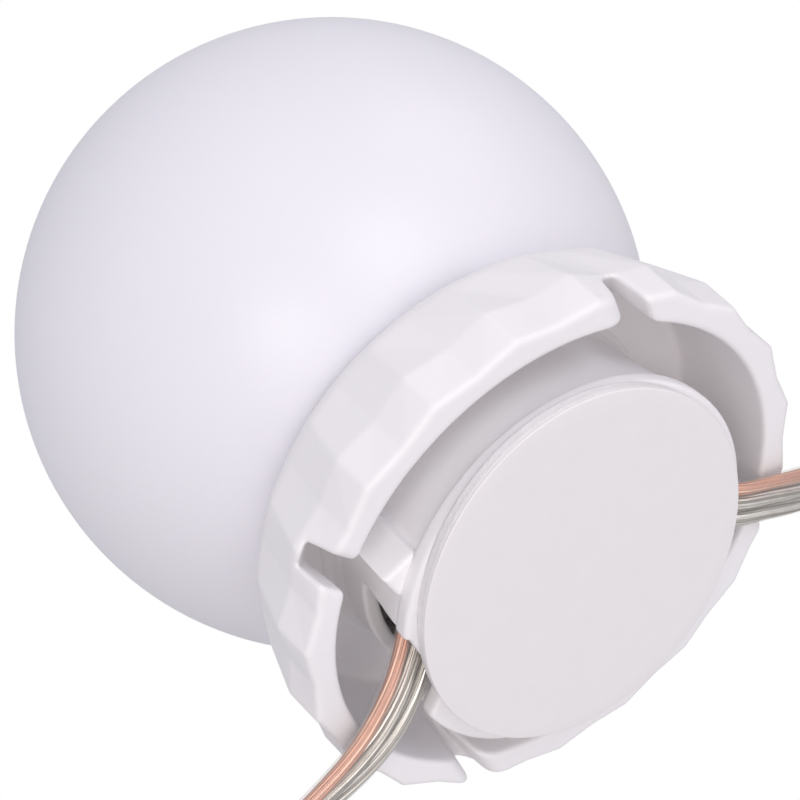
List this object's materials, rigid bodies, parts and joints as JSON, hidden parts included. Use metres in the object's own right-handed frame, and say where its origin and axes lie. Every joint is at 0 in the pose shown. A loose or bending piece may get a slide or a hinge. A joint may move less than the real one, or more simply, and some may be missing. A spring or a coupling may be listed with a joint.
{
  "type": "mirror light string lamp",
  "caption": "Frosted globe lamp with a faceted collar and adhesive pad, on flat three-core ribbon cords with an in-plug USB dimmer.",
  "frame": {"origin": "middle of the adhesive pad's face, where the lamp sticks to a mirror or wall", "axes": "+Z from the pad through the collar to the ball; the feed ribbon leaves towards -X and the link ribbon towards +X +Y"},
  "size_m": [0.1676, 0.1015, 0.0643],
  "materials": {
    "frosted_globe": "satin frosted",
    "white_housing": "satin moulded",
    "foam": "matt closed-cell foam",
    "liner": "matt release film",
    "clear_ribbon": "clear insulation over copper and tinned strands",
    "tie_film": "glossy film",
    "aluminium_board": "white solder mask",
    "led_warm": "phosphor gel",
    "led_cool": "phosphor gel",
    "chip_black": "epoxy",
    "zinc_screw": "zinc plated",
    "bare_core": "stranded wire",
    "solder": "solder",
    "pin_brass": "gold flash",
    "green_board": "solder mask",
    "button_grey": "satin",
    "usb_steel": "nickel plated",
    "switch_black": "nylon"
  },
  "bodies": {
    "lamp_base": {"collar_skirt": "white_housing", "spool_hub": "white_housing", "end_cap": "white_housing", "foam_pad": "foam", "release_liner": "liner", "led_board": "aluminium_board", "warm_leds": "led_warm", "cool_leds": "led_cool", "led_resistors": "chip_black", "board_screws": "zinc_screw", "cable_clamp": "white_housing", "clamp_screws": "zinc_screw", "core_tails": "bare_core", "solder_joints": "solder", "feed_ribbon": "clear_ribbon", "feed_coil": "clear_ribbon", "feed_ties": "tie_film", "link_ribbon": "clear_ribbon", "link_coil": "clear_ribbon", "link_ties": "tie_film", "connector_housing": "white_housing", "connector_pins": "pin_brass", "connector_boot": "white_housing", "dimmer_shell_lower": "white_housing", "dimmer_shell_upper": "white_housing", "dimmer_board": "green_board", "dimmer_chips": "chip_black", "dimmer_wires": "bare_core", "tact_switches": "switch_black", "dimmer_boot": "white_housing", "dimmer_screws": "zinc_screw", "usb_shell": "usb_steel", "usb_tongue": "white_housing", "usb_contacts": "pin_brass"},
    "globe": {"globe_diffuser": "frosted_globe"},
    "power_key": {"power_button": "button_grey", "power_plunger": "switch_black"},
    "colour_key": {"colour_button": "button_grey", "colour_plunger": "switch_black"},
    "dim_key": {"dim_button": "button_grey", "dim_plunger": "switch_black"}
  },
  "joints": [
    {"name": "globe_twist", "type": "hinge", "parent": "lamp_base", "child": "globe", "pos_m": [0, 0, 0.016], "axis": [0, 0, 1], "range_deg": [0, 25]},
    {"name": "power_press", "type": "slide", "parent": "lamp_base", "child": "power_key", "axis": [0, 0, -1], "range_m": [0, 0.0004], "stiffness_N_per_m": 500},
    {"name": "colour_press", "type": "slide", "parent": "lamp_base", "child": "colour_key", "axis": [0, 0, -1], "range_m": [0, 0.0004], "stiffness_N_per_m": 500},
    {"name": "dim_press", "type": "slide", "parent": "lamp_base", "child": "dim_key", "axis": [0, 0, -1], "range_m": [0, 0.0004], "stiffness_N_per_m": 500}
  ]
}
